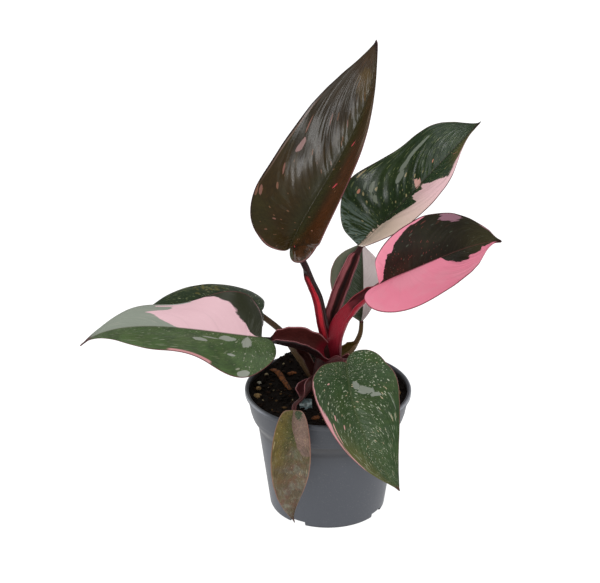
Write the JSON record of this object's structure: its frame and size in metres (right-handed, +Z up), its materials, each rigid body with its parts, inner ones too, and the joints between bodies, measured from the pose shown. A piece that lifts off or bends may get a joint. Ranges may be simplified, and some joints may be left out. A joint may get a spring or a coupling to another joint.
{
  "type": "potted philodendron",
  "caption": "Variegated philodendron with broad pointed leaves on sheathed stalks, rooted in potting soil in a round tapered nursery pot; stands on its own.",
  "frame": {"origin": "centre of the pot's underside, on the surface that the pot stands on", "axes": "+Z up, -Y towards the viewer, +X to the viewer's right"},
  "size_m": [0.296, 0.1588, 0.34],
  "materials": {
    "pot_plastic": "smooth grey moulded plastic with a soft sheen",
    "soil": "damp, crumbly, nearly black potting mix",
    "stem_skin": "dark maroon-brown, waxy",
    "blade_top": "olive brown with reddish-brown patches and a waxy gloss",
    "blade_upper_right": "dark green with grey-green and cream and pink areas, waxy",
    "blade_right": "half dark brown-green and half pink, waxy",
    "blade_back": "half grey-green and half pale pink, satin",
    "blade_left_front": "green with pale specks, a pale pink and grey-green far half and a fine dark red edge, waxy",
    "blade_left_back": "dark green with small pale specks, waxy",
    "blade_right_front": "green with many fine pale dashes and a pink edge, waxy",
    "blade_small_front": "olive green and pinkish brown with a lighter strip, waxy",
    "petiole_right": "smooth bright crimson, waxy",
    "petiole_left_front": "dark maroon with a paler pink rim, waxy",
    "petiole_top": "dark brown-red with a crimson streak, waxy",
    "petiole_upper_right": "dark maroon with a paler pink rim, waxy",
    "petiole_right_front": "dark maroon with a paler pink rim, waxy",
    "petiole_back": "olive brown, satin",
    "petiole_left_back": "olive brown, satin",
    "petiole_small_front": "dark maroon with a paler pink rim, waxy",
    "tan_bark": "rough, dry",
    "rust_bark": "rough, damp",
    "perlite": "matt, off-white",
    "fleece": "thin, pale grey-blue, ribbed"
  },
  "bodies": {
    "root": {"nursery_pot": "pot_plastic", "potting_soil": "soil", "stem": "stem_skin", "leaf_top": "blade_top", "leaf_upper_right": "blade_upper_right", "leaf_right": "blade_right", "leaf_back": "blade_back", "leaf_left_front": "blade_left_front", "leaf_left_back": "blade_left_back", "leaf_right_front": "blade_right_front", "leaf_small_front": "blade_small_front", "stalk_right": "petiole_right", "stalk_left_front": "petiole_left_front", "stalk_top": "petiole_top", "stalk_upper_right": "petiole_upper_right", "stalk_right_front": "petiole_right_front", "stalk_back": "petiole_back", "stalk_left_back": "petiole_left_back", "stalk_small_front": "petiole_small_front", "bark_chip_left_back": "tan_bark", "bark_chip_left": "tan_bark", "bark_chip_middle": "rust_bark", "bark_chip_right_back": "tan_bark", "bark_chip_right": "tan_bark", "bark_chip_front": "rust_bark", "perlite_grain_left": "perlite", "perlite_grain_right": "perlite", "bark_strip": "rust_bark", "wrapper_scrap": "fleece"}
  },
  "joints": []
}
